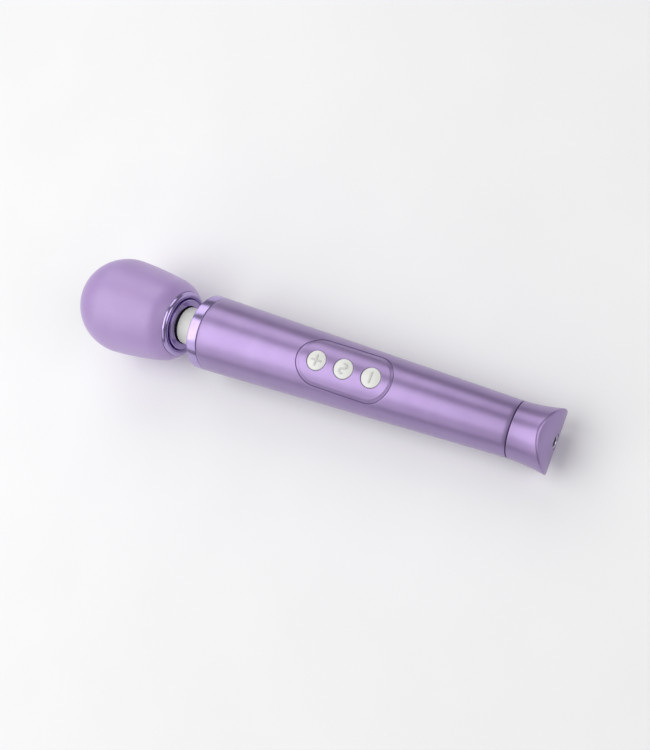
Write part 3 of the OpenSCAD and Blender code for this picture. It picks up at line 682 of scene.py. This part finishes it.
def tail():
    """Rings from inside the seam, over a small rounded edge, along the flare to the curved end face. The rim
    is a smooth bend between the two, and the end face's rings close in to the socket's hole."""
    turn = np.linspace(0, 2 * math.pi, 288, endpoint=False)
    up = np.cos(turn)
    rim_s = np.full_like(turn, CROWN_AT)
    for _ in range(30):
        rim_s = end_face_at(flare_radius(rim_s) * up)
    rim_r = flare_radius(rim_s)
    bend, spigot_len, socket_depth = 0.75, 8.7, 12.6
    front = SEAM_AT + 0.2
    spigot_r = handle_radius(SEAM_AT) - SLEEVE_T - 0.45
    rows = [(0 * turn, front - spigot_len), (spigot_r + 0 * turn, front - spigot_len),
            (spigot_r + 0 * turn, front), (SEAM_R - 0.2 + 0 * turn, front),
            (SEAM_R - 0.06 + 0 * turn, front + 0.06)]
    for share in np.linspace(0, 1, 40):
        s = front + 0.2 + (rim_s - bend - front - 0.2) * share
        rows.append((flare_radius(s), s))
    side_r, side_s = flare_radius(rim_s - bend), rim_s - bend
    face_r = rim_r - bend
    face_s = end_face_at(face_r * up)
    for t in np.linspace(0, 1, 9)[1:-1]:
        a, b, c = (1 - t) ** 2, 2 * t * (1 - t), t * t
        rows.append((a * side_r + b * rim_r + c * face_r, a * side_s + b * rim_s + c * face_s))
    mouth = SOCKET_R + 0.25
    for share in np.linspace(0, 1, 30):
        r = face_r + (mouth - face_r) * share
        rows.append((r, end_face_at(r * up)))
    hole_r = SOCKET_R + 0.05
    lip = end_face_at(mouth * up)
    rows += [(hole_r + 0.06 + 0 * turn, lip - 0.06), (hole_r + 0 * turn, lip - 0.22),
             (hole_r + 0 * turn, CROWN_AT - socket_depth), (0 * turn, CROWN_AT - socket_depth)]
    r = np.stack([row[0] for row in rows])
    s = np.stack([row[1] + 0 * turn for row in rows])
    piece = skin("tail_cap_flared", wand(s, r * np.sin(turn), r * np.cos(turn)), sharp=50)
    return placed(piece, "handle", ["tail_cap"], FINISHES["satin_lavender"])


def seam_seal():
    """The dark ring in the tail seam, slightly crowned."""
    half, inner = 0.18, SEAM_R - 1.5
    outline = path([inner, SEAM_AT - half], arc(SEAM_R - 0.6, SEAM_AT, half, -90, 90, 6),
                   [inner, SEAM_AT + half], [inner, SEAM_AT - half])
    return placed(turned("tail_seam_ring", outline), "handle", ["tail_seal"], FINISHES["seal_rubber"])


def socket():
    """The bright ring round the charging bore, and the black socket body behind it with its blind bore."""
    front = CROWN_AT - 0.45
    back = front - 1.5
    hole_r, bore_r, outside, inside = 2.3, 1.3, 0.35, 0.45
    ring = path([hole_r, back], [SOCKET_R, back], arc(SOCKET_R - outside, front - outside, outside, 0, 90, 6),
                arc(hole_r + inside, front - inside, inside, 90, 180, 8), [hole_r, back])
    placed(turned("charging_bezel", ring, 50), "handle", ["socket_bezel"], FINISHES["socket_metal"])
    face, bore_end, rear = back - 0.05, back - 9.05, back - 11.05
    body = path([0, bore_end], [bore_r, bore_end], [bore_r, face - 0.2], [bore_r + 0.2, face],
                [SOCKET_R, face], [SOCKET_R, rear], [0, rear])
    placed(turned("charging_socket_body", body, 50), "handle", ["charge_socket"], FINISHES["socket_black"])


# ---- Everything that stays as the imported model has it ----

def finish_inner_nodes():
    """Each carried-over node takes the finish of its material slot."""
    for part in frame["record"]["subparts"]:
        node = frame["nodes"][part["node"]]
        node.data.materials.clear()
        node.data.materials.append(FINISHES[part["material_slot"]])


# ---- Studio ----

def camera():
    """A camera at an azimuth, elevation, roll and distance about a point on the handle."""
    azimuth, elevation, roll, distance = 74.55, 60.0, -54.96, 430.5
    target = Vector((17.8, -3.0, 20.0)) * MM
    a, e = math.radians(azimuth), math.radians(elevation)
    back = Vector((math.sin(a) * math.cos(e), -math.cos(a) * math.cos(e), math.sin(e)))
    level = Vector((math.cos(a), math.sin(a), 0))
    upward = back.cross(level)
    turn = Matrix((level, upward, back)).transposed() @ Matrix.Rotation(math.radians(roll), 3, "Z")
    data = bpy.data.cameras.new("camera")
    data.sensor_width, data.lens = 36, 45.6
    data.clip_start, data.clip_end = 0.01, 20
    seat = bpy.data.objects.new("camera", data)
    seat.matrix_world = Matrix.Translation(target + back * distance * MM) @ turn.to_4x4()
    bpy.context.scene.collection.objects.link(seat)
    bpy.context.scene.camera = seat


def softbox(name, towards, distance, width, height, watts, tint=(1, 1, 1)):
    """An area light that faces the wand's middle from a direction in the wand's own axes (s, y, z)."""
    direction = (AXIS * towards[0] + SIDE * towards[1] + UP * towards[2]).normalized()
    middle = Vector(wand(50, 0, 0))
    data = bpy.data.lights.new(name, "AREA")
    data.shape, data.size, data.size_y = "RECTANGLE", width, height
    data.energy, data.color = watts, tint
    lamp = bpy.data.objects.new(name, data)
    long_way = (AXIS - direction * AXIS.dot(direction)).normalized()
    lamp.matrix_world = (Matrix.Translation(middle + direction * distance)
                         @ Matrix((long_way, direction.cross(long_way), direction)).transposed().to_4x4())
    bpy.context.scene.collection.objects.link(lamp)


def studio():
    """A plain pale floor, a white surround and soft boxes that lie along the wand."""
    bpy.ops.mesh.primitive_plane_add(size=4.0)
    floor = bpy.context.object
    floor.name = "floor"
    paper = Finish("floor_paper", Specular_IOR_Level=0.2)
    paper.colours(paper.noise(60, 2), (0.92, 0.92, 0.93), (0.94, 0.94, 0.95))
    paper.roughness(0.8 + 0.1 * paper.noise(4, 2))
    floor.data.materials.append(paper.material)
    world = bpy.data.worlds.new("surround")
    world.use_nodes = True
    world.node_tree.nodes["Background"].inputs[0].default_value = (1, 1, 1, 1)
    world.node_tree.nodes["Background"].inputs[1].default_value = 0.25
    bpy.context.scene.world = world
    softbox("key", (-0.55, -0.28, 1.0), 0.9, 0.9, 0.92, 5.1)
    softbox("side", (-0.5, -0.89, 0.46), 0.9, 0.9, 0.46, 1.3)
    softbox("top", (-0.5, 0.78, 0.66), 0.9, 0.9, 0.46, 2.0)
    softbox("fill", (1.0, 0.1, 0.72), 1.0, 0.7, 0.7, 2.8)
    bpy.context.scene.view_settings.view_transform = "Standard"


finish_inner_nodes()
silicone_cover()
trim_ring()
neck()
collar()
sleeve()
panel()
button("button_plus", -1, lambda x, y: np.minimum(bar_distance(x, y, True), bar_distance(x, y, False)))
button("button_mode", 0, wave_distance)
button("button_minus", 1, lambda x, y: bar_distance(x, y, False))
tail()
seam_seal()
socket()
camera()
studio()
